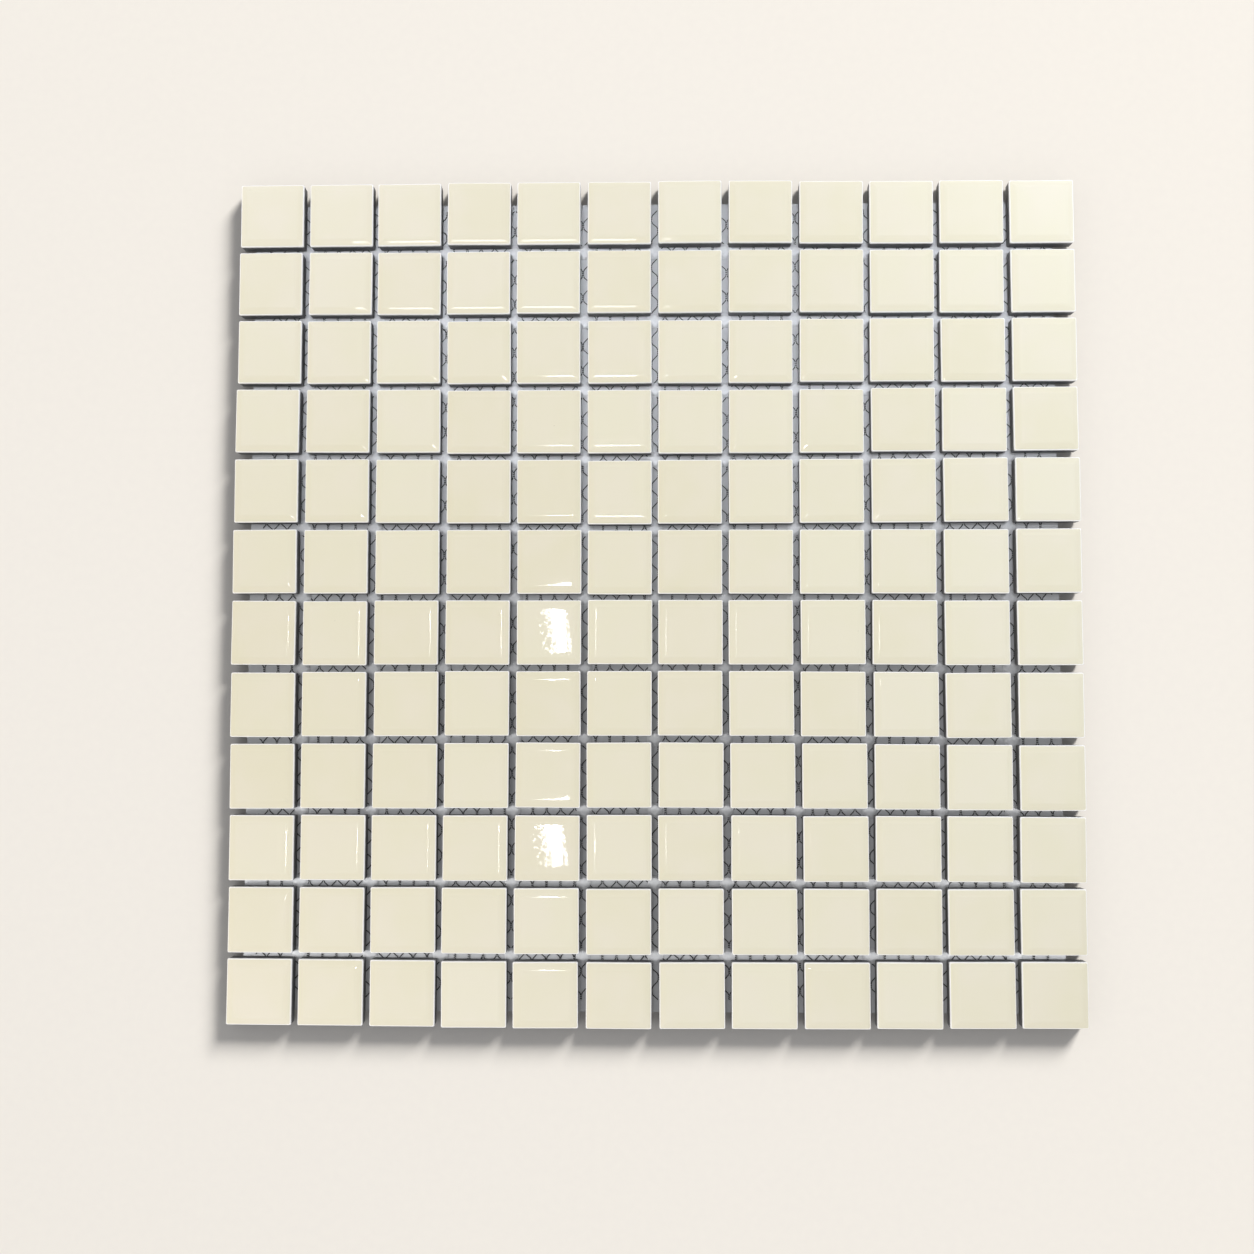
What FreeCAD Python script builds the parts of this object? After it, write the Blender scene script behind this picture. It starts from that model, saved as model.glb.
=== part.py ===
import FreeCAD, Part
import math
import os
import random

# Mosaic tile sheet: square glazed tile chips laid in a grid on an open knitted net,
# with a dot of adhesive on the net wherever four tiles meet.
# Millimetres. The origin is the centre of the underside, +Z points out of the glazed faces,
# and +Y runs along the straight threads of the net.

# Tile chips
tiles_across = 12
tiles_down = 12
tile_side = 23.0
tile_thickness = 6.0
tile_corner_radius = 0.9
rim_width = 0.55
rim_drop = 0.7

# How they are laid: the joint between them, the long waves in which the net lets the rows and
# columns drift, and how far each chip may sit out of line
joint_width = 2.4
lay_drift = 0.36
lay_wander = 0.15
lay_turn = 0.35
lay_seed = 5

# Knitted net: six-sided openings whose straight sides run along Y
net_thickness = 0.4
net_margin = 8.5
strand_width = 0.4
opening_width = 5.0
straight_length = 2.5
zigzag_rise = 2.0
course_skew = 5.0
wales_per_strip = 3

# Adhesive dots: blunted diamonds that stand on the net between four tile corners
dot_height = 0.9
dot_reach = 2.3
dot_clearance = 0.35
dot_crown = 0.6

tile_pitch = tile_side + joint_width
sheet_width = tiles_across * tile_pitch - joint_width
sheet_length = tiles_down * tile_pitch - joint_width
course_pitch = straight_length + zigzag_rise
course_slope = math.tan(math.radians(course_skew))


def closed_wire(points):
    """A polygon through the points and back to the first."""
    return Part.makePolygon(points + points[:1])


def tile_chip():
    """One pressed and glazed chip, centred on the Z axis with its back at Z = 0. Its rim slopes."""
    corner = FreeCAD.Vector(-tile_side / 2, -tile_side / 2, 0)
    chip = Part.makeBox(tile_side, tile_side, tile_thickness, corner)
    upright = [edge for edge in chip.Edges if edge.BoundBox.ZLength > tile_thickness / 2]
    chip = chip.makeFillet(tile_corner_radius, upright)
    rim = [edge for edge in chip.Edges if edge.BoundBox.ZMin > tile_thickness / 2]
    return chip.makeChamfer(rim_drop, rim_width, rim)


def drift(row, column):
    """How far the stretch of the net carries one tile from its place in an even grid."""
    across = math.pi * (column + 0.5) / tiles_across
    down = math.pi * (row + 0.5) / tiles_down
    x = lay_drift * math.cos(3 * across) * math.cos(2 * down)
    y = -lay_drift * math.cos(2 * across) * math.cos(3 * down)
    return x, y


def tile_places():
    """Centre and turn of each tile, by row from the far side and by column from the left."""
    chance = random.Random(lay_seed)
    places = {}
    for row in range(tiles_down):
        for column in range(tiles_across):
            drift_x, drift_y = drift(row, column)
            x = (column - (tiles_across - 1) / 2) * tile_pitch + drift_x
            y = ((tiles_down - 1) / 2 - row) * tile_pitch + drift_y
            x += chance.uniform(-1, 1) * lay_wander
            y += chance.uniform(-1, 1) * lay_wander
            turn = chance.uniform(-1, 1) * lay_turn
            places[row, column] = (FreeCAD.Vector(x, y, net_thickness), turn)
    return places


def tile_row(chip, places, row):
    """The chips of one row, each with its back flat on the net."""
    row_chips = []
    for column in range(tiles_across):
        centre, turn = places[row, column]
        laid = chip.copy()
        laid.Placement = FreeCAD.Placement(centre, FreeCAD.Rotation(FreeCAD.Vector(0, 0, 1), turn))
        row_chips.append(laid)
    return Part.makeCompound(row_chips)


def net_opening():
    """Corners of one opening of the net about its centre, half a strand inside the knitted cell."""
    half_width = opening_width / 2
    half_straight = straight_length / 2
    tip = half_straight + zigzag_rise
    right_side = [(0, tip), (half_width, half_straight), (half_width, -half_straight)]
    left_side = [(-x, -y) for x, y in right_side]
    cell = [FreeCAD.Vector(x, y + x * course_slope, 0) for x, y in right_side + left_side]
    shrunk = closed_wire(cell).makeOffset2D(-strand_width / 2)
    return [vertex.Point for vertex in shrunk.OrderedVertexes]


def openings_between(x_low, x_high, y_high, opening):
    """Openings that reach into one strip, as those that lie whole in it and those its edges cut."""
    whole = []
    cut = []
    wales = round((x_high - x_low) / opening_width)
    courses = math.ceil((y_high + abs(x_low) + abs(x_high)) / course_pitch)
    for course in range(-courses, courses + 1):
        stagger = opening_width / 2 * (course % 2)
        for wale in range(wales + 2):
            x = x_low + (wale - 0.25) * opening_width - stagger + opening_width / 2
            y = course * course_pitch + x * course_slope
            corners = [point + FreeCAD.Vector(x, y, 0) for point in opening]
            box = closed_wire(corners).BoundBox
            if box.XMax <= x_low or box.XMin >= x_high or abs(y) - box.YLength / 2 >= y_high:
                continue
            inside = box.XMin > x_low and box.XMax < x_high and max(-box.YMin, box.YMax) < y_high
            (whole if inside else cut).append(closed_wire(corners))
    return whole, cut


def net_strip(x_low, x_high, y_high, opening):
    """One strip of the net, its strands fused at every knot and cut square at its edges."""
    whole, cut = openings_between(x_low, x_high, y_high, opening)
    size = (x_high - x_low, 2 * y_high)
    plain = Part.makePlane(*size, FreeCAD.Vector(x_low, -y_high, 0))
    trimmed = plain.cut([Part.Face(wire) for wire in cut])
    outline = max(trimmed.Faces, key=lambda face: face.Area).OuterWire
    return Part.Face([outline] + whole).extrude(FreeCAD.Vector(0, 0, net_thickness))


def net_strips():
    """The net from left to right, in strips of a few wales that meet face to face."""
    wales = math.floor((sheet_width - 2 * net_margin) / opening_width)
    y_high = sheet_length / 2 - net_margin
    opening = net_opening()
    strips = []
    for first in range(0, wales, wales_per_strip):
        last = min(first + wales_per_strip, wales)
        x_low, x_high = [(wale - wales / 2) * opening_width for wale in (first, last)]
        strips.append(net_strip(x_low, x_high, y_high, opening))
    return strips


def blunt_diamond(seat, reach, z):
    """Outline of a dot: four sides across the tile corners, blunted where the joints leave it."""
    side = seat * math.sqrt(2)
    reach = min(reach, side)
    quarter = [(reach, side - reach), (side - reach, reach)]
    points = []
    for turn in range(4):
        points += quarter
        quarter = [(-y, x) for x, y in quarter]
    return closed_wire([FreeCAD.Vector(x, y, z) for x, y in points])


def glue_dots(places):
    """A dot on the net at each inner crossing of the joints, clear of the four tile corners."""
    corner_distance = math.sqrt(2) * (joint_width / 2 + tile_corner_radius) - tile_corner_radius
    seat = corner_distance - dot_clearance
    base = blunt_diamond(seat, dot_reach, net_thickness)
    crown = blunt_diamond(seat * dot_crown, dot_reach * dot_crown, net_thickness + dot_height)
    dot = Part.makeLoft([base, crown], True, True)
    dots = []
    for row in range(1, tiles_down):
        for column in range(1, tiles_across):
            around = [places[r, c][0] for r in (row - 1, row) for c in (column - 1, column)]
            middle = sum(around, FreeCAD.Vector()) / 4
            dots.append(dot.translated(FreeCAD.Vector(middle.x, middle.y, 0)))
    return Part.makeCompound(dots)


def main():
    os.makedirs("parts", exist_ok=True)
    chip = tile_chip()
    places = tile_places()
    nodes = {}
    for row in range(tiles_down):
        nodes[f"tile_row_{row + 1:02d}"] = tile_row(chip, places, row)
    for number, strip in enumerate(net_strips(), 1):
        nodes[f"net_strip_{number:02d}"] = strip
    nodes["glue_dots"] = glue_dots(places)
    for name, shape in nodes.items():
        shape.exportStep(f"parts/{name}.step")


main()
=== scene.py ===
"""Finish of a mosaic tile sheet: glazed porcelain chips on a knitted net, held by dots of adhesive.

Metres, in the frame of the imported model: +Z out of the glazed faces, +Y up the sheet.
Sizes are written in millimetres, times MM.
"""
import math
import random

import bpy
from mathutils import Matrix, Vector


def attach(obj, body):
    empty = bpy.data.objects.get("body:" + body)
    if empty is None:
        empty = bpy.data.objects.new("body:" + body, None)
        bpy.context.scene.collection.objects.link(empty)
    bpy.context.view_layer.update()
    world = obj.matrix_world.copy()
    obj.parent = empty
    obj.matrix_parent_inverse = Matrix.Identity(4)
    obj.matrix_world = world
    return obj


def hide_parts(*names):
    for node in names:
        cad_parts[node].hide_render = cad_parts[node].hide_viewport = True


MM = 0.001

# Sheet
TILES = 12
TILE_PITCH = 25.4 * MM
TILE_SIDE = 23.0 * MM
TILE_TOP = 6.4 * MM
NET_TOP = 0.4 * MM
ROWS = [f"tile_row_{row:02d}" for row in range(1, TILES + 1)]

# Points of a CAD chip's right wall, from which its turn is read: how deep the wall is searched, how
# far they may lie from its middle, so as to leave out the corners, and how far below the face
WALL_DEPTH = 0.2 * MM
WALL_REACH = 10.75 * MM
WALL_TOP_DROP = 1.0 * MM

# Glazed chip: a short bend leads from the flat face into a gently falling border, which grows
# steeper outwards and runs into a rounded rim. The pressed sides taper a little to the back, where a
# few flat grooves key the adhesive. How far the face falls is summed up in DROP_STEPS steps.
CORNER_RADIUS = 0.5 * MM
CORNER_STEPS = 5
BEND_START = 3.0 * MM
BEND_WIDTH = 0.6 * MM
BEND_STEPS = 4
BORDER_SLOPE = 0.187
BORDER_RADIUS = 20.5 * MM
BORDER_STEPS = 3
DROP_STEPS = 40
RIM_WIDTH = 0.40 * MM
RIM_STEPS = 4
WALL_LEAN = 0.02 * MM
WALL_LEAN_HEIGHT = 0.5 * MM
SIDE_TAPER = 0.12 * MM
BACK_CHAMFER = 0.35 * MM
RIB_GROOVES = 5
RIB_WIDTH = 2.4 * MM
RIB_DEPTH = 0.35 * MM
RIB_MARGIN = 2.0 * MM
RIB_END_GAP = 0.3 * MM

# Modelling: edges sharper than this angle stay sharp, vertices whose heights differ by less than
# SAME_HEIGHT are in one outline, and a face whose normal's height is under FACES_DOWN looks down
SMOOTH_ANGLE_DEG = 35
SAME_HEIGHT = 0.0001 * MM
FACES_DOWN = -0.99

# Glaze: where it ends on the sides, and how far below the flat of the face its border turns warmer
# and its rim paler, in part paler glaze and in part a painted highlight. Its relief is a slow wave
# with a small share of orange peel, and the bare body's is grit, many times as deep.
GLAZE_END = 5.2 * MM
GLAZE_END_FADE = 0.3 * MM
BORDER_DROPS = (0.14 * MM, 0.03 * MM)
PALE_RIM_AND_HIGHLIGHT_DROPS = (0.58 * MM, 0.52 * MM)
GLAZE_RELIEF = 0.0035 * MM
PEEL_SHARE = 0.06
GRIT_SHARE = 8.0

# Knitted net: pairs of yarns lie side by side in short straights, wrapped by a finer binder,
# and part to the left and right between them. The binder goes round in four runs a turn, and its
# corners stand out past the yarns by BINDER_CORNERS, across and up. Each piece of the net is so many
# wales wide and stands for these of the CAD strips.
OPENING_WIDTH = 5.0 * MM
STRAIGHT_LENGTH = 2.5 * MM
ZIGZAG_RISE = 2.0 * MM
COURSE_PITCH = STRAIGHT_LENGTH + ZIGZAG_RISE
COURSE_SLOPE = math.tan(math.radians(5.0))
NET_HALF_WIDTH = 142.5 * MM
NET_HALF_LENGTH = 142.7 * MM
FIRST_WALE = -143.75 * MM
YARN_RADIUS = 0.17 * MM
YARN_GAP = 0.21 * MM
YARN_BEND = 0.35 * MM
BINDER_RADIUS = 0.09 * MM
BINDER_TURNS = 3
BINDER_END_GAP = 0.25 * MM
BINDER_CORNERS = (1.25, 1.38)
NET_PIECES = {
    "net_left": (16, range(1, 6)),
    "net_mid_left": (15, range(6, 11)),
    "net_mid_right": (15, range(11, 16)),
    "net_right": (12, range(16, 20)),
}

# Adhesive dots: each level is a rise and the factor by which the outline shrinks or grows there.
# Above its foot a dot is pinched between its arms, and its dome is a little uneven.
DOT_RADIUS = 2.7 * MM
DOT_SIDES = 32
DOT_BASE = 0.02 * MM
DOT_LEVELS = [(0.30 * MM, 1.04), (0.06 * MM, 0.97), (0.08 * MM, 0.92), (0.12 * MM, 0.94),
              (0.10 * MM, 0.88), (0.06 * MM, 0.75), (0.03 * MM, 0.5)]
DOT_FOOT_TOP = 0.37 * MM
DOT_PINCH = 0.24
DOT_UNEVEN_FROM = 0.45 * MM
DOT_UNEVEN = 0.05 * MM
DOT_KINDS = 4
DOT_SIZES = (0.88, 1.04)
DOT_SEED = 11

# What it lies on
PAPER_SIDE = 292 * MM
PAPER_CENTRE = (-1 * MM, -1 * MM, 0)
FLOOR_TIMES_PAPER = 40

# Camera, read from the perspective of the sheet. Its lens and sensor are in millimetres.
CAMERA_PLACE = (-1.5 * MM, -36.5 * MM, 456.4 * MM)
CAMERA_TURN_DEG = (3.275, 1.07, -0.024)
CAMERA_LENS = 36.4
CAMERA_SENSOR = 36

# Room and lamps: by how high a direction points, from 0 level to 1 straight up, the room is bright up
# to ROOM_HORIZON and dim from ROOM_OVERHEAD. The lamps that are seen in the glaze hang at LAMP_HEIGHT.
# A glow aims at a point GLOW_AIM of its way out from the middle.
ROOM_HORIZON = 0.35
ROOM_OVERHEAD = 0.75
ROOM_BRIGHT = (0.76, 0.76, 0.765, 1)
ROOM_DIM = (0.285, 0.285, 0.29, 1)
LAMP_HEIGHT = 1.0
LAMP_SPREAD_DEG = 24
BEAM_SPREAD_DEG = 26
GLOW_AIM = 0.6

# How such a lamp is broken up into a core and specks, in shares of its width and height. The specks
# are where a pattern is high. It is lifted by the first SPECK_LIFT near the core and by the second far
# from it, as SPECK_WAY tells near from far.
CORE_MIDDLE = 0.66
CORE_WIDENING = 0.15
CORE_EDGE = (0.09, 0.13)
SPECKS_ACROSS = (9, 13, 1)
SPECK_WAY = (0.1, 0.55)
SPECK_LIFT = (0.03, -0.15)
SPECK_STRENGTH = 0.35


def select_only(thing):
    """Makes one object the active and only selected one."""
    bpy.ops.object.select_all(action="DESELECT")
    thing.select_set(True)
    bpy.context.view_layer.objects.active = thing


def active_named(name):
    """The object that was just added, under its own name."""
    thing = bpy.context.active_object
    thing.name = name
    thing.data.name = name
    return thing


def select_faces(thing, wanted):
    """From edit mode, selects the faces whose centre and normal pass the test."""
    bpy.ops.object.mode_set(mode="OBJECT")
    for part in list(thing.data.vertices) + list(thing.data.edges):
        part.select = False
    for face in thing.data.polygons:
        face.select = bool(wanted(face))
    bpy.ops.object.mode_set(mode="EDIT")
    bpy.ops.mesh.select_mode(type="FACE")


def select_verts(thing, wanted):
    """From edit mode, selects the vertices whose place passes the test."""
    bpy.ops.object.mode_set(mode="OBJECT")
    for part in list(thing.data.polygons) + list(thing.data.edges):
        part.select = False
    for vertex in thing.data.vertices:
        vertex.select = bool(wanted(vertex.co))
    bpy.ops.object.mode_set(mode="EDIT")
    bpy.ops.mesh.select_mode(type="VERT")


# Materials


def srgb(code):
    """An sRGB hex colour as linear RGBA."""
    channels = [int(code[i:i + 2], 16) / 255 for i in (1, 3, 5)]
    linear = [c / 12.92 if c <= 0.04045 else ((c + 0.055) / 1.055) ** 2.4 for c in channels]
    return (*linear, 1.0)


def socket_named(sockets, name):
    """The socket in use that has this name or, for a number, stands at this place."""
    if isinstance(name, int):
        return sockets[name]
    return next(socket for socket in sockets if socket.enabled and socket.name == name)


def add_node(tree, kind, settings=(), links=()):
    """Adds a node. Each setting is one of its properties or inputs. Each link is an input and what
    feeds it: an output, or a node, which gives the first of its outputs in use."""
    node = tree.nodes.new(kind)
    values = dict(settings)
    for name in [name for name in values if hasattr(node, str(name))]:
        setattr(node, name, values.pop(name))
    for name, value in values.items():
        socket_named(node.inputs, name).default_value = value
    for name, source in dict(links).items():
        if isinstance(source, bpy.types.Node):
            source = next(output for output in source.outputs if output.enabled)
        tree.links.new(source, socket_named(node.inputs, name))
    return node


def new_material(name, settings):
    """A material with one Principled shader, and its tree, shader and Object coordinates."""
    material = bpy.data.materials.new(name)
    material.use_nodes = True
    tree = material.node_tree
    shader = tree.nodes["Principled BSDF"]
    for socket, value in settings.items():
        shader.inputs[socket].default_value = value
    place = add_node(tree, "ShaderNodeTexCoord").outputs["Object"]
    return material, tree, shader, place


def connect(tree, shader, links):
    """Feeds inputs of a material's shader from nodes."""
    for name, source in links.items():
        output = next(output for output in source.outputs if output.enabled)
        tree.links.new(output, shader.inputs[name])


def glaze_colour(tree, place, height):
    """Cream, a little different on each chip and in slow clouds over the sheet. It is warmer where
    the border falls, nearly white in a fine line round the rim, and has a rare dark speck. That
    white line is in part paler glaze and in part a painted highlight."""
    cell = add_node(tree, "ShaderNodeVectorMath",
                    {"operation": "SNAP", 1: (TILE_PITCH, TILE_PITCH, 1)}, {0: place})
    batch = add_node(tree, "ShaderNodeTexWhiteNoise", {"noise_dimensions": "2D"}, {"Vector": cell})
    glaze = add_node(tree, "ShaderNodeMix",
                     {"data_type": "RGBA", "A": srgb("#E6E1CA"), "B": srgb("#E3DDC4")},
                     {"Factor": batch})
    cloud = add_node(tree, "ShaderNodeTexNoise", {"Scale": 1 / (14 * MM), "Detail": 1},
                     {"Vector": place})
    cloudy = add_node(tree, "ShaderNodeMapRange", {"From Min": 0.35, "From Max": 0.7, "To Max": 0.5},
                      {"Value": cloud})
    # The rim's near white is in part paler glaze and in part a painted highlight.
    border, rim = [
        add_node(tree, "ShaderNodeMapRange",
                 {"interpolation_type": "SMOOTHSTEP", "From Min": TILE_TOP - lower,
                  "From Max": TILE_TOP - upper, "To Min": share, "To Max": 0.0}, {"Value": height})
        for (lower, upper), share in ((BORDER_DROPS, 0.2), (PALE_RIM_AND_HIGHLIGHT_DROPS, 1.0))]
    cells = add_node(tree, "ShaderNodeTexVoronoi", {"Scale": 1 / (6 * MM)}, {"Vector": place})
    chance = add_node(tree, "ShaderNodeSeparateColor", links={"Color": cells.outputs["Color"]})
    rare = add_node(tree, "ShaderNodeMath", {"operation": "GREATER_THAN", 1: 0.93}, {0: chance})
    near = add_node(tree, "ShaderNodeMapRange",
                    {"From Min": 0.015, "From Max": 0.03, "To Min": 0.5, "To Max": 0.0},
                    {"Value": cells.outputs["Distance"]})
    speck = add_node(tree, "ShaderNodeMath", {"operation": "MULTIPLY"}, {0: rare, 1: near})
    for code, share in (("#E7E0CE", cloudy), ("#E2DBBE", border), ("#FBF9F2", rim), ("#8C8166", speck)):
        glaze = add_node(tree, "ShaderNodeMix", {"data_type": "RGBA", "B": srgb(code)},
                         {"Factor": share, "A": glaze})
    return glaze


def glazed_porcelain():
    """Glazed porcelain: a dry-pressed grey body under a sprayed and fired cream glaze.
    The glaze is glassy, with a slow wave and a faint orange peel; it draws off the edges, so it is
    paler in a fine line round the face, lightened further by a painted highlight, and it ends on the
    sides in an uneven line. The bare body below it is matt and finely grained, and its grey is
    darkened further as painted shade of the deep joints."""
    material, tree, shader, place = new_material("Glazed porcelain", {"IOR": 1.52})
    height = add_node(tree, "ShaderNodeSeparateXYZ", links={"Vector": place}).outputs["Z"]
    glaze = glaze_colour(tree, place, height)
    ragged = add_node(tree, "ShaderNodeTexNoise", {"Scale": 1 / (1.5 * MM)}, {"Vector": place})
    line = add_node(tree, "ShaderNodeMath", {"operation": "MULTIPLY_ADD", 1: 0.8 * MM},
                    {0: ragged, 2: height})
    bare = add_node(tree, "ShaderNodeMapRange",
                    {"From Min": GLAZE_END, "From Max": GLAZE_END + GLAZE_END_FADE, "To Min": 1.0,
                     "To Max": 0.0}, {"Value": line})
    grain = add_node(tree, "ShaderNodeTexNoise", {"Scale": 1 / (0.6 * MM)}, {"Vector": place})
    # Below the glaze the sides are grey, in part the body's own grey and in part painted shade: the
    # grey is kept dark for the deep joints.
    body = add_node(tree, "ShaderNodeMix",
                    {"data_type": "RGBA", "A": srgb("#737372"), "B": srgb("#888786")},
                    {"Factor": grain})
    colour = add_node(tree, "ShaderNodeMix", {"data_type": "RGBA"},
                      {"Factor": bare, "A": glaze, "B": body})
    roughness = add_node(tree, "ShaderNodeMath", {"operation": "MULTIPLY_ADD", 1: 0.7, 2: 0.02},
                         {0: bare})
    wave, peel = [
        add_node(tree, "ShaderNodeTexNoise", {"Scale": 1 / size, "Detail": 0}, {"Vector": place})
        for size in (7 * MM, 1.3 * MM)]
    peel = add_node(tree, "ShaderNodeMath", {"operation": "MULTIPLY", 1: PEEL_SHARE}, {0: peel})
    relief = add_node(tree, "ShaderNodeMath", {"operation": "ADD"}, {0: wave, 1: peel})
    grit = add_node(tree, "ShaderNodeMath", {"operation": "MULTIPLY"}, {0: grain, 1: bare})
    relief = add_node(tree, "ShaderNodeMath", {"operation": "MULTIPLY_ADD", 1: GRIT_SHARE},
                      {0: grit, 2: relief})
    bump = add_node(tree, "ShaderNodeBump", {"Distance": GLAZE_RELIEF}, {"Height": relief})
    connect(tree, shader, {"Base Color": colour, "Roughness": roughness, "Normal": bump})
    return material


def polyester_yarn(name, dark, pale):
    """Polyester filament yarn, spun and knitted: nearly matt, with fine flecks where its filaments
    part. Real filaments are about 0.02 mm; the flecks are drawn at 0.12 mm so that they show."""
    material, tree, shader, place = new_material(name, {"Roughness": 0.6, "IOR": 1.5})
    flecks = add_node(tree, "ShaderNodeTexNoise", {"Scale": 1 / (0.12 * MM)}, {"Vector": place})
    tone = add_node(tree, "ShaderNodeMix", {"data_type": "RGBA", "A": srgb(dark), "B": srgb(pale)},
                    {"Factor": flecks})
    bump = add_node(tree, "ShaderNodeBump", {"Strength": 0.6, "Distance": 0.02 * MM},
                    {"Height": flecks})
    connect(tree, shader, {"Base Color": tone, "Normal": bump})
    return material


def dried_adhesive():
    """Water-based adhesive, dotted on wet and dried: white, with a soft skin and a few cloudy
    patches."""
    material, tree, shader, place = new_material("Dried adhesive", {"Roughness": 0.35, "IOR": 1.47})
    cloud = add_node(tree, "ShaderNodeTexNoise", {"Scale": 1 / (1.2 * MM), "Detail": 3},
                     {"Vector": place})
    tone = add_node(tree, "ShaderNodeMix",
                    {"data_type": "RGBA", "A": srgb("#C4C5C7"), "B": srgb("#E6E7E8")},
                    {"Factor": cloud})
    bump = add_node(tree, "ShaderNodeBump", {"Strength": 0.7, "Distance": 0.08 * MM},
                    {"Height": cloud})
    connect(tree, shader, {"Base Color": tone, "Normal": bump})
    return material


def matt_paint():
    """Painted board under the sheet: matt and pale, with a barely visible roller grain."""
    material, tree, shader, place = new_material("Matt paint", {"Roughness": 0.9})
    grain = add_node(tree, "ShaderNodeTexNoise", {"Scale": 1 / (3 * MM), "Detail": 3},
                     {"Vector": place})
    tone = add_node(tree, "ShaderNodeMix",
                    {"data_type": "RGBA", "A": srgb("#DEDBD7"), "B": srgb("#E2DFDA")},
                    {"Factor": grain})
    connect(tree, shader, {"Base Color": tone})
    return material


def paper_grey_as_painted_shade():
    """Packing paper under the sheet: matt, with soft fibre clouds. Its cool grey, darker than the
    board, is painted shade for the floor deep in the joints.
    """
    material, tree, shader, place = new_material("Packing paper", {"Roughness": 0.95})
    cloud = add_node(tree, "ShaderNodeTexNoise", {"Scale": 1 / (2 * MM), "Detail": 4},
                     {"Vector": place})
    tone = add_node(tree, "ShaderNodeMix",
                    # Painted shade: the paper's cool grey stands in for the shade deep in the joints.
                    {"data_type": "RGBA", "A": srgb("#C4C5C7"), "B": srgb("#D0D1D3")},
                    {"Factor": cloud})
    connect(tree, shader, {"Base Color": tone})
    return material


# Glazed chips


def rounded_loop(half, z):
    """From edit mode, adds one rounded square outline with no face in it, and leaves it selected."""
    bpy.ops.mesh.select_all(action="DESELECT")
    bpy.ops.mesh.primitive_plane_add(size=2 * half, location=(0, 0, z))
    bpy.ops.mesh.bevel(offset=CORNER_RADIUS, segments=CORNER_STEPS, affect="VERTICES")
    bpy.ops.mesh.delete(type="ONLY_FACE")


def face_slope(inset):
    """Slope of the glazed face at some way in from the side."""
    bend = min(1, max(0, BEND_START - inset) / BEND_WIDTH)
    return BORDER_SLOPE * bend + max(0, BEND_START - BEND_WIDTH - inset) / BORDER_RADIUS


def face_drop(inset):
    """How far the face has fallen at some way in from the side."""
    width = (BEND_START - inset) / DROP_STEPS
    return sum(face_slope(inset + (step + 0.5) * width) * width for step in range(DROP_STEPS))


def chip_outlines():
    """Half width and height of each outline of a chip, from the back to the flat of the face."""
    half = TILE_SIDE / 2
    border_angle = math.atan(face_slope(RIM_WIDTH))
    rim_radius = RIM_WIDTH / (1 - math.sin(border_angle))
    wall_top = TILE_TOP - face_drop(RIM_WIDTH) - rim_radius * math.cos(border_angle)
    outlines = [(half - SIDE_TAPER - BACK_CHAMFER, NET_TOP),
                (half - SIDE_TAPER, NET_TOP + BACK_CHAMFER),
                (half - WALL_LEAN, wall_top - WALL_LEAN_HEIGHT), (half, wall_top)]
    for step in range(1, RIM_STEPS + 1):
        angle = (math.pi / 2 - border_angle) * step / RIM_STEPS
        outlines.append((half - rim_radius * (1 - math.cos(angle)),
                         wall_top + rim_radius * math.sin(angle)))
    for start, end, steps in ((RIM_WIDTH, BEND_START - BEND_WIDTH, BORDER_STEPS),
                              (BEND_START - BEND_WIDTH, BEND_START, BEND_STEPS)):
        for step in range(1, steps + 1):
            inset = start + (end - start) * step / steps
            outlines.append((half - inset, TILE_TOP - face_drop(inset)))
    return outlines


def groove_back(chip):
    """Presses a few flat grooves into the back, as the die leaves them to key the adhesive."""
    select_faces(chip, lambda face: face.normal.z < FACES_DOWN)
    bpy.ops.mesh.inset(thickness=RIB_MARGIN)
    spacing = (TILE_SIDE - 2 * RIB_MARGIN) / RIB_GROOVES
    centres = [(groove - (RIB_GROOVES - 1) / 2) * spacing for groove in range(RIB_GROOVES)]
    limit = TILE_SIDE / 2 - RIB_MARGIN - RIB_END_GAP

    def inner_back(face):
        x, y, _ = face.center
        return face.normal.z < FACES_DOWN and abs(y) < RIB_MARGIN / 2 and abs(x) < limit

    for cut in [centre + side * RIB_WIDTH / 2 for centre in centres for side in (-1, 1)]:
        select_faces(chip, inner_back)
        bpy.ops.mesh.bisect(plane_co=(cut, 0, 0), plane_no=(1, 0, 0))
    near = RIB_WIDTH / 4
    select_faces(chip, lambda face: inner_back(face)
                 and min(abs(face.center.x - centre) for centre in centres) < near)
    bpy.ops.mesh.extrude_region_move(TRANSFORM_OT_translate={"value": (0, 0, RIB_DEPTH)})


def model_chip(material):
    """One chip, centred on the Z axis at its height in the sheet."""
    bpy.ops.object.select_all(action="DESELECT")
    bpy.ops.mesh.primitive_plane_add(size=TILE_SIDE)
    chip = active_named("chip")
    bpy.ops.object.mode_set(mode="EDIT")
    bpy.ops.mesh.select_all(action="SELECT")
    bpy.ops.mesh.delete(type="VERT")
    below = None
    for half, z in chip_outlines():
        rounded_loop(half, z)
        if below is not None:
            heights = (below, z)
            select_verts(chip, lambda co: min(abs(co.z - h) for h in heights) < SAME_HEIGHT)
            bpy.ops.mesh.bridge_edge_loops()
        else:
            bpy.ops.mesh.edge_face_add()
        below = z
    select_verts(chip, lambda co: abs(co.z - below) < SAME_HEIGHT)
    bpy.ops.mesh.edge_face_add()
    bpy.ops.mesh.select_all(action="SELECT")
    bpy.ops.mesh.normals_make_consistent(inside=False)
    groove_back(chip)
    bpy.ops.mesh.select_all(action="SELECT")
    bpy.ops.mesh.normals_make_consistent(inside=False)
    bpy.ops.object.mode_set(mode="OBJECT")
    bpy.ops.object.shade_smooth_by_angle(angle=math.radians(SMOOTH_ANGLE_DEG))
    chip.data.materials.append(material)
    return chip


def middle(points):
    """Centre of the box round some points, seen from above."""
    xs, ys = [p.x for p in points], [p.y for p in points]
    return (min(xs) + max(xs)) / 2, (min(ys) + max(ys)) / 2


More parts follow.
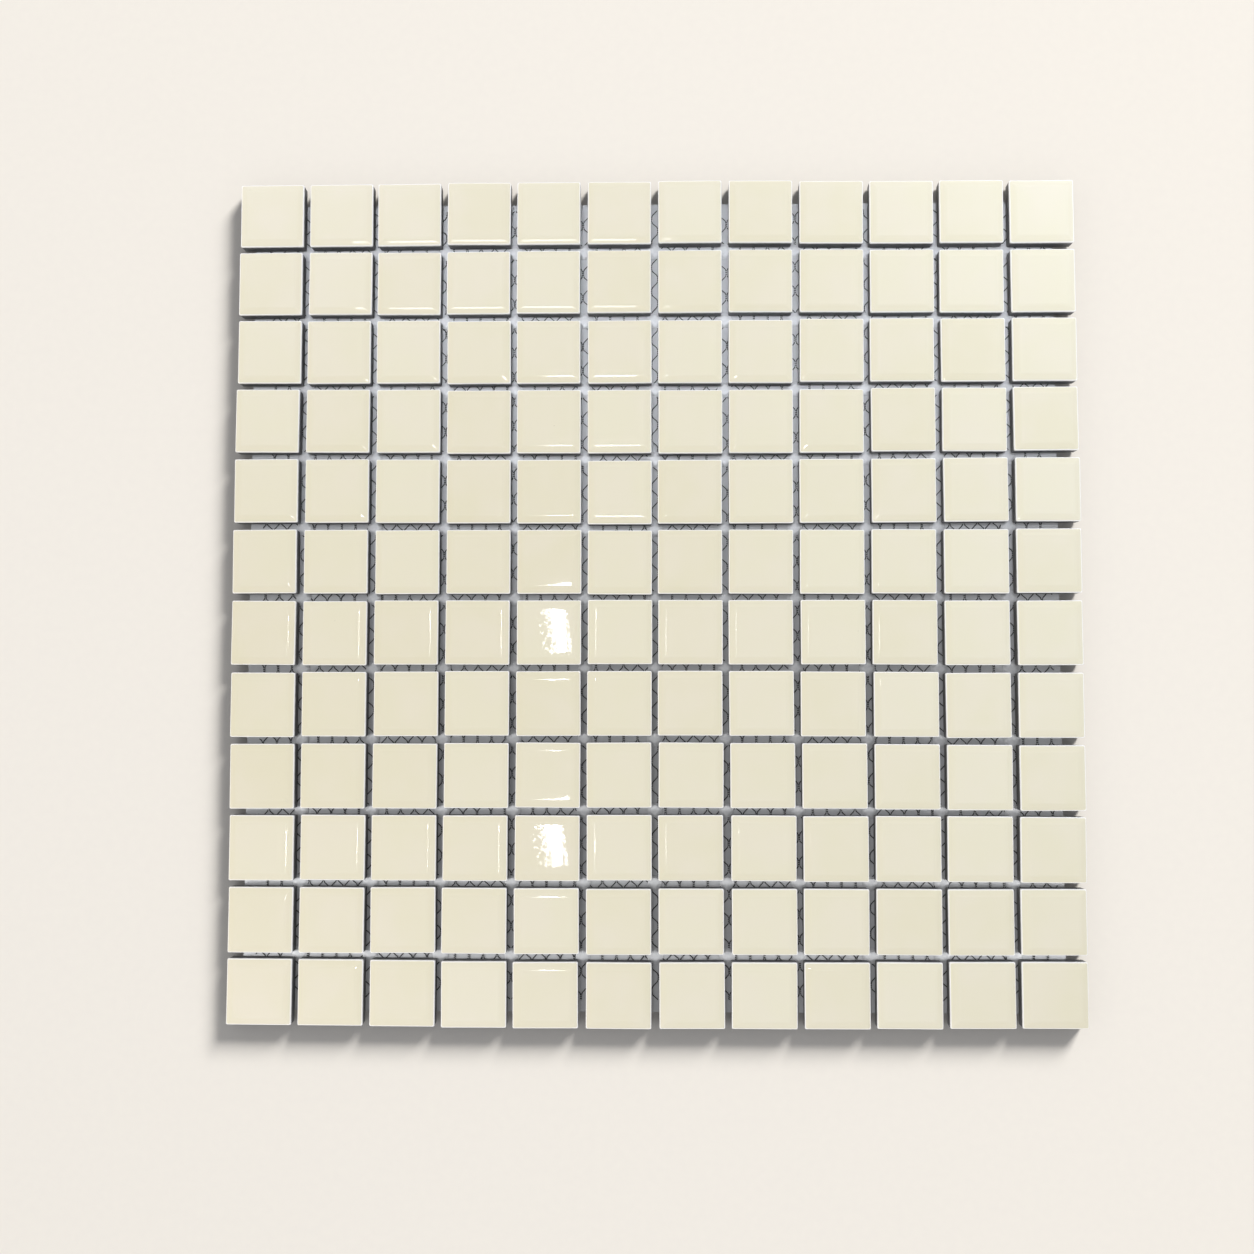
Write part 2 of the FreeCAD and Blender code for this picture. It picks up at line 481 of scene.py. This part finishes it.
def seats_in(row):
    """Place and turn of each chip in a row, read from the row's CAD node."""
    groups = [[] for _ in range(TILES)]
    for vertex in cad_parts[row].data.vertices:
        groups[round(vertex.co.x / TILE_PITCH + (TILES - 1) / 2)].append(vertex.co)
    seats = []
    for points in groups:
        x, y = middle(points)
        right = max(p.x for p in points)
        wall = [p for p in points if p.x > right - WALL_DEPTH and abs(p.y - y) < WALL_REACH
                and p.z < TILE_TOP - WALL_TOP_DROP]
        mean_x, mean_y = sum(p.x for p in wall) / len(wall), sum(p.y for p in wall) / len(wall)
        slope = (sum((p.x - mean_x) * (p.y - mean_y) for p in wall)
                 / sum((p.y - mean_y) ** 2 for p in wall))
        seats.append(Matrix.Translation((x, y, 0)) @ Matrix.Rotation(-math.atan(slope), 4, "Z"))
    return seats


def join(things):
    """Joins things into the first of them, which is left active."""
    select_only(things[0])
    for thing in things:
        thing.select_set(True)
    if len(things) > 1:
        bpy.ops.object.join()


def copies_joined(thing, seats, name):
    """Copies of a piece, each with its own mesh, set at the seats and joined into one piece."""
    copies = []
    for seat in seats:
        copy = thing.copy()
        copy.data = thing.data.copy()
        copy.matrix_world = seat
        bpy.context.scene.collection.objects.link(copy)
        copies.append(copy)
    join(copies)
    bpy.ops.object.transform_apply(location=True, rotation=True, scale=True)
    return active_named(name)


def lay_chips(material):
    """The chips, row by row, each standing for its CAD row."""
    chip = model_chip(material)
    rows = []
    for number, row in enumerate(ROWS, 1):
        laid = copies_joined(chip, seats_in(row), f"chips_row_{number:02d}")
        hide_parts(row)
        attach(laid, "root")
        rows.append(laid)
    bpy.data.objects.remove(chip)
    return rows


# Net


def thread(name, points, radius, sides):
    """A round thread along straight runs between points, as a mesh open at both ends."""
    bpy.ops.object.select_all(action="DESELECT")
    line = bpy.data.curves.new(name, "CURVE")
    line.dimensions = "3D"
    spline = line.splines.new("POLY")
    spline.points.add(len(points) - 1)
    for point, place in zip(spline.points, points):
        point.co = (*place, 1.0)
    line.bevel_depth = radius
    line.bevel_resolution = sides
    thing = bpy.data.objects.new(name, line)
    bpy.context.scene.collection.objects.link(thing)
    select_only(thing)
    bpy.ops.object.convert(target="MESH")
    return bpy.context.active_object


def yarn_points(side):
    """One repeat of a yarn: beside a straight, across to the next one, beside it, and back."""
    half = STRAIGHT_LENGTH / 2
    shift = side * OPENING_WIDTH / 2
    lift = shift * COURSE_SLOPE
    near, far = side * YARN_GAP, shift - side * YARN_GAP
    corners = [(near, -half), (near, half), (far, COURSE_PITCH - half + lift),
               (far, COURSE_PITCH + half + lift), (near, 2 * COURSE_PITCH - half)]
    z = NET_TOP / 2
    points = [Vector((near, 0, z))]
    for before, corner, after in zip(corners, corners[1:], corners[2:]):
        at = Vector((*corner, z))
        points.append(at + (Vector((*before, z)) - at).normalized() * YARN_BEND)
        points.append(at + (Vector((*after, z)) - at).normalized() * YARN_BEND)
    last = Vector((*corners[-1], z))
    points.append(last + (Vector((*corners[-2], z)) - last).normalized() * YARN_BEND)
    points.append(last + Vector((0, YARN_BEND, 0)))
    points.append(Vector((near, 2 * COURSE_PITCH, z)))
    return points


def binder_points(x, y):
    """The finer thread that winds round the two yarns of a straight."""
    points = []
    steps = 4 * BINDER_TURNS
    length = STRAIGHT_LENGTH - 2 * BINDER_END_GAP
    across = (YARN_GAP + YARN_RADIUS) * BINDER_CORNERS[0]
    up = (NET_TOP / 2 - BINDER_RADIUS) * BINDER_CORNERS[1]
    for step in range(steps + 1):
        angle = math.pi / 2 * step + math.pi / 4
        points.append((x + across * math.cos(angle), y - length / 2 + length * step / steps,
                       NET_TOP / 2 + up * math.sin(angle)))
    return points


def net_unit(yarn_material, binder_material):
    """One repeat of one wale: two yarns and the binders of two straights."""
    shift = OPENING_WIDTH / 2
    parts = []
    for side in (-1, 1):
        parts.append((thread("yarn", yarn_points(side), YARN_RADIUS, 1), yarn_material))
    for x, y in ((0, 0), (shift, COURSE_PITCH + shift * COURSE_SLOPE)):
        parts.append((thread("binder", binder_points(x, y), BINDER_RADIUS, 0), binder_material))
    for part, material in parts:
        part.data.materials.clear()
        part.data.materials.append(material)
    join([part for part, _ in parts])
    bpy.ops.object.shade_smooth()
    return active_named("net_unit")


def repeat(thing, count, step):
    """Repeats a piece count times, each step further on, with an Array modifier that is applied."""
    select_only(thing)
    array = thing.modifiers.new("repeat", "ARRAY")
    array.count = count
    array.use_relative_offset = False
    array.use_constant_offset = True
    array.constant_offset_displace = step
    bpy.ops.object.modifier_apply(modifier="repeat")


def trim(thing):
    """Cuts the net square at its four borders and closes the cut threads."""
    select_only(thing)
    bpy.ops.object.mode_set(mode="EDIT")
    for place, outward in (((NET_HALF_WIDTH, 0, 0), (1, 0, 0)),
                           ((-NET_HALF_WIDTH, 0, 0), (-1, 0, 0)),
                           ((0, NET_HALF_LENGTH, 0), (0, 1, 0)),
                           ((0, -NET_HALF_LENGTH, 0), (0, -1, 0))):
        bpy.ops.mesh.select_all(action="SELECT")
        bpy.ops.mesh.bisect(plane_co=place, plane_no=outward, use_fill=True, clear_outer=True)
    bpy.ops.object.mode_set(mode="OBJECT")


def knit_net(yarn_material, binder_material):
    """The net in pieces of whole wales, each standing for its CAD strips."""
    unit = net_unit(yarn_material, binder_material)
    reach = NET_HALF_LENGTH + OPENING_WIDTH + NET_HALF_WIDTH * COURSE_SLOPE
    repeats = math.ceil(reach / (2 * COURSE_PITCH))
    first = FIRST_WALE
    pieces = []
    for name, (wales, strips) in NET_PIECES.items():
        y = first * COURSE_SLOPE - repeats * 2 * COURSE_PITCH
        piece = copies_joined(unit, [Matrix.Translation((first, y, 0))], name)
        repeat(piece, 2 * repeats, (0, 2 * COURSE_PITCH, 0))
        repeat(piece, wales, (OPENING_WIDTH, OPENING_WIDTH * COURSE_SLOPE, 0))
        trim(piece)
        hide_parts(*[f"net_strip_{strip:02d}" for strip in strips])
        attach(piece, "root")
        pieces.append(piece)
        first += wales * OPENING_WIDTH
    bpy.data.objects.remove(unit)
    return pieces


# Adhesive dots


def model_dot(material, kind):
    """One dot: a flat foot under the chips, and a low dome with arms between their corners."""
    bpy.ops.object.select_all(action="DESELECT")
    bpy.ops.mesh.primitive_circle_add(vertices=DOT_SIDES, radius=DOT_RADIUS, fill_type="NGON",
                                      location=(0, 0, DOT_BASE))
    dot = active_named("dot")
    bpy.ops.object.mode_set(mode="EDIT")
    for rise, factor in DOT_LEVELS:
        bpy.ops.mesh.extrude_region_move(TRANSFORM_OT_translate={"value": (0, 0, rise)})
        bpy.ops.transform.resize(value=(factor, factor, 1))
    bpy.ops.object.mode_set(mode="OBJECT")
    for vertex in dot.data.vertices:
        if vertex.co.z > DOT_FOOT_TOP:
            angle = math.atan2(vertex.co.y, vertex.co.x)
            pinch = 1 - DOT_PINCH * math.sin(2 * angle) ** 2
            vertex.co.x *= pinch
            vertex.co.y *= pinch
    bpy.ops.object.mode_set(mode="EDIT")
    select_verts(dot, lambda co: co.z > DOT_UNEVEN_FROM)
    bpy.ops.transform.vertex_random(offset=DOT_UNEVEN, seed=kind)
    bpy.ops.mesh.select_all(action="SELECT")
    bpy.ops.mesh.normals_make_consistent(inside=False)
    bpy.ops.object.mode_set(mode="OBJECT")
    bpy.ops.object.shade_smooth()
    dot.data.materials.append(material)
    return dot


def place_dots(material):
    """The dots, of a few kinds, turned and sized by chance, where the CAD node has them."""
    clusters = {}
    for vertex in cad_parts["glue_dots"].data.vertices:
        crossing = round(vertex.co.y / TILE_PITCH), round(vertex.co.x / TILE_PITCH)
        clusters.setdefault(crossing, []).append(vertex.co)
    chance = random.Random(DOT_SEED)
    seats = {kind: [] for kind in range(DOT_KINDS)}
    for crossing in sorted(clusters):
        x, y = middle(clusters[crossing])
        size = chance.uniform(*DOT_SIZES)
        turn = Matrix.Rotation(math.pi / 2 * chance.randrange(4), 4, "Z")
        seat = Matrix.Translation((x, y, 0)) @ turn @ Matrix.Diagonal((size, size, 1, 1))
        seats[chance.randrange(DOT_KINDS)].append(seat)
    groups = []
    for kind, places in seats.items():
        dot = model_dot(material, kind)
        groups.append(copies_joined(dot, places, f"dots_{kind}"))
        bpy.data.objects.remove(dot)
    join(groups)
    dots = active_named("adhesive_dots")
    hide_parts("glue_dots")
    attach(dots, "root")
    return dots


# Studio


def paper_square(name):
    """A flat square of the paper's size, where the paper lies."""
    bpy.ops.object.select_all(action="DESELECT")
    bpy.ops.mesh.primitive_plane_add(size=PAPER_SIDE, location=PAPER_CENTRE)
    bpy.ops.object.transform_apply(location=True)
    return active_named(name)


def add_floor():
    """A pale matt board, large enough to have no edge in view, with a sheet of packing paper set
    into it, which shows in the joints only. The paper's grey is painted shade of the joints."""
    paper = paper_square("paper")
    paper.data.materials.append(paper_grey_as_painted_shade())
    floor = paper_square("floor")
    bpy.ops.object.mode_set(mode="EDIT")
    bpy.ops.mesh.delete(type="ONLY_FACE")
    bpy.ops.mesh.select_all(action="SELECT")
    bpy.ops.mesh.extrude_region_move()
    bpy.ops.transform.resize(value=(FLOOR_TIMES_PAPER, FLOOR_TIMES_PAPER, 1))
    bpy.ops.mesh.select_all(action="SELECT")
    bpy.ops.mesh.normals_make_consistent(inside=False)
    bpy.ops.object.mode_set(mode="OBJECT")
    floor.data.materials.append(matt_paint())
    return floor, paper


def group_of(name, things):
    """A collection of the things that a light shines on."""
    group = bpy.data.collections.new(name)
    for thing in things:
        group.objects.link(thing)
    return group


def add_panel(name, place, aim, size, radiance, lit, colour="#FFFFFF", spread_deg=180,
              diffuse=True, glossy=True):
    """A rectangular soft light at place, turned to shine at aim, on the things in lit. It may be
    kept from lighting matt surfaces, or from showing in glossy ones."""
    data = bpy.data.lights.new(name, "AREA")
    data.shape = "RECTANGLE"
    data.size, data.size_y = size
    data.energy = radiance * math.pi * size[0] * size[1]
    data.color = srgb(colour)[:3]
    data.spread = math.radians(spread_deg)
    light = bpy.data.objects.new(name, data)
    light.location = place
    light.rotation_euler = (Vector(aim) - Vector(place)).to_track_quat("-Z", "Y").to_euler()
    light.visible_camera = False
    light.visible_diffuse = diffuse
    light.visible_glossy = glossy
    bpy.context.scene.collection.objects.link(light)
    light.light_linking.receiver_collection = group_of(name + "_lit", lit)
    return light


def break_up(light):
    """Breaks a lamp up into a solid core to one side of its middle, which narrows downwards, and
    dimmer specks that grow fewer away from it."""
    light.data.use_nodes = True
    tree = light.data.node_tree
    face = add_node(tree, "ShaderNodeNewGeometry").outputs["Parametric"]
    split = add_node(tree, "ShaderNodeSeparateXYZ", links={"Vector": face}).outputs
    aside = add_node(tree, "ShaderNodeMath", {"operation": "SUBTRACT", 1: CORE_MIDDLE},
                     {0: split["X"]})
    aside = add_node(tree, "ShaderNodeMath", {"operation": "ABSOLUTE"}, {0: aside})
    aside = add_node(tree, "ShaderNodeMath", {"operation": "MULTIPLY_ADD", 1: -CORE_WIDENING},
                     {0: split["Y"], 2: aside})
    core = add_node(tree, "ShaderNodeMapRange",
                    {"From Min": CORE_EDGE[0], "From Max": CORE_EDGE[1], "To Min": 1.0, "To Max": 0.0},
                    {"Value": aside})
    wide = add_node(tree, "ShaderNodeVectorMath", {"operation": "MULTIPLY", 1: SPECKS_ACROSS},
                    {0: face})
    specks = add_node(tree, "ShaderNodeTexNoise", {"Scale": 1.0, "Detail": 1}, {"Vector": wide})
    fewer = add_node(tree, "ShaderNodeMapRange",
                     {"From Min": SPECK_WAY[0], "From Max": SPECK_WAY[1], "To Min": SPECK_LIFT[0],
                      "To Max": SPECK_LIFT[1]}, {"Value": aside})
    lit = add_node(tree, "ShaderNodeMath", {"operation": "ADD"}, {0: specks, 1: fewer})
    lit = add_node(tree, "ShaderNodeMath", {"operation": "GREATER_THAN", 1: 0.5}, {0: lit})
    dim = add_node(tree, "ShaderNodeMath", {"operation": "MULTIPLY", 1: SPECK_STRENGTH}, {0: lit})
    strength = add_node(tree, "ShaderNodeMath", {"operation": "MAXIMUM"}, {0: dim, 1: core})
    tree.links.new(strength.outputs["Value"], tree.nodes["Emission"].inputs["Strength"])


def add_room():
    """Even light from all round, brightest near the horizon, which whitens the glazed rims."""
    world = bpy.data.worlds.new("studio")
    bpy.context.scene.world = world
    world.use_nodes = True
    tree = world.node_tree
    way = add_node(tree, "ShaderNodeTexCoord").outputs["Generated"]
    height = add_node(tree, "ShaderNodeSeparateXYZ", links={"Vector": way}).outputs["Z"]
    band = add_node(tree, "ShaderNodeMapRange",
                    {"interpolation_type": "SMOOTHSTEP", "From Min": ROOM_HORIZON,
                     "From Max": ROOM_OVERHEAD}, {"Value": height})
    colour = add_node(tree, "ShaderNodeMix",
                      {"data_type": "RGBA", "A": ROOM_BRIGHT, "B": ROOM_DIM}, {"Factor": band})
    tree.links.new(colour.outputs[2], tree.nodes["Background"].inputs["Color"])


def add_camera():
    """The camera, above the sheet and a little nearer its lower edge."""
    data = bpy.data.cameras.new("camera")
    data.sensor_width = CAMERA_SENSOR
    data.lens = CAMERA_LENS
    camera = bpy.data.objects.new("camera", data)
    camera.location = CAMERA_PLACE
    camera.rotation_mode = "ZYX"
    camera.rotation_euler = [math.radians(turn) for turn in CAMERA_TURN_DEG]
    bpy.context.scene.collection.objects.link(camera)
    bpy.context.scene.camera = camera


def towards(turn, rise, away):
    """The place that lies away metres from the origin, turn degrees from +Y towards +X and rise
    degrees up."""
    turn, rise = math.radians(turn), math.radians(rise)
    return (away * math.sin(turn) * math.cos(rise), away * math.cos(turn) * math.cos(rise),
            away * math.sin(rise))


def light_chips(chips):
    """A large soft box gives the chips their tone, and low glows beyond the edges lift it towards
    them. The lamps show in the glaze only: two broken-up ones in the middle and lower rows, and two
    plain ones that draw fine lines on the borders of the upper rows."""
    add_panel("soft_box", towards(-80, 78, 4.0), (0, 0, 0), (1.6, 1.6), 10.3, chips, "#FFFAE6",
              glossy=False)
    for name, place, size, radiance, colour in (
            ("glow_top_right", (0.20, 0.22, 0.13), (0.30, 0.12), 2.2, "#D0DDFF"),
            ("glow_top_left", (-0.16, 0.23, 0.13), (0.30, 0.12), 1.37, "#C4CEFF"),
            ("glow_right", (0.23, -0.04, 0.12), (0.12, 0.30), 0.64, "#B5CCFF"),
            ("glow_low_left", (-0.22, -0.22, 0.13), (0.15, 0.15), 1.0, "#EAE4FF"),
            ("glow_low", (0, -0.23, 0.13), (0.40, 0.12), 0.56, "#BDCAFF")):
        aim = (GLOW_AIM * place[0], GLOW_AIM * place[1], 0)
        add_panel(name, place, aim, size, radiance, chips, colour, glossy=False)
    for name, centre, size, radiance, rows in (
            ("lamp", (-0.1143, 0.0365), (0.055, 0.078), 1.5, chips[2:9]),
            ("lamp_low", (-0.121, -0.205), (0.060, 0.074), 2.5, chips[8:])):
        lamp = add_panel(name, (*centre, LAMP_HEIGHT), (*centre, 0), size, radiance, rows,
                         spread_deg=LAMP_SPREAD_DEG, diffuse=False)
        break_up(lamp)
    for name, centre, size, radiance, rows in (
            ("lamp_right", (-0.047, 0.041), (0.094, 0.056), 80, chips[2:5]),
            ("lamp_wide", (-0.159, 0.041), (0.318, 0.052), 9, chips[:2])):
        add_panel(name, (*centre, LAMP_HEIGHT), (*centre, 0), size, radiance, rows, diffuse=False)


def light_joints(things):
    """The joints take their light from high on the left and overhead, low from both sides along the
    lower rows, and from three beams over the upper rows."""
    add_panel("joint_high", towards(-90, 79, 2.5), (0, 0, 0), (0.25, 0.25), 26, things)
    add_panel("joint_side", towards(-90, 50, 1.2), (0, 0, 0), (0.16, 0.16), 15, things)
    add_panel("joint_over", (0, -0.05, 1.2), (0, -0.05, 0), (0.1, 0.1), 45, things)
    for side in (-1, 1):
        add_panel("joint_end", (side * 0.30, -0.13, 0.16), (side * 0.05, -0.13, 0), (0.04, 0.14), 25,
                  things)
    for x in (-0.09, 0.02, 0.13):
        add_panel("joint_beam", (x, 0.105, 0.6), (x, 0.105, 0), (0.03, 0.03), 11, things, "#EEF2FA",
                  spread_deg=BEAM_SPREAD_DEG)


def add_key(floor):
    """The key, low and far away behind the right of the sheet. It lights the floor, but for the
    sheet's shadow there."""
    add_panel("key", towards(35, 25.5, 14.0), (0, 0, 0), (4.2, 4.2), 64.7, [floor], "#FFFBF4")


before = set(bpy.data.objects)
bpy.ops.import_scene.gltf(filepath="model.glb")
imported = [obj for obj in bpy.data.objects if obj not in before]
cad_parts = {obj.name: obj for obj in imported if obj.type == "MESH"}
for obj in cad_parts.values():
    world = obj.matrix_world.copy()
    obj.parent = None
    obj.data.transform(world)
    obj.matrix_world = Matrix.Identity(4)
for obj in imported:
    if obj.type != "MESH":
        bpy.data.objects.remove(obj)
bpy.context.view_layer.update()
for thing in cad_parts.values():
    thing.select_set(False)

chips = lay_chips(glazed_porcelain())
# The yarns are drawn near black: painted shadow, for the shadows the pale threads throw on the paper
# beside them. The binder keeps the threads' own pale colour.
net = knit_net(polyester_yarn("Polyester yarn in painted shadow", "#101112", "#242628"),
               polyester_yarn("Polyester binder", "#E6E7E9", "#F6F7F7"))
dots = place_dots(dried_adhesive())
floor, paper = add_floor()
add_room()
add_key(floor)
light_chips(chips)
light_joints([*net, dots, paper])
add_camera()
bpy.context.scene.view_settings.view_transform = "Standard"
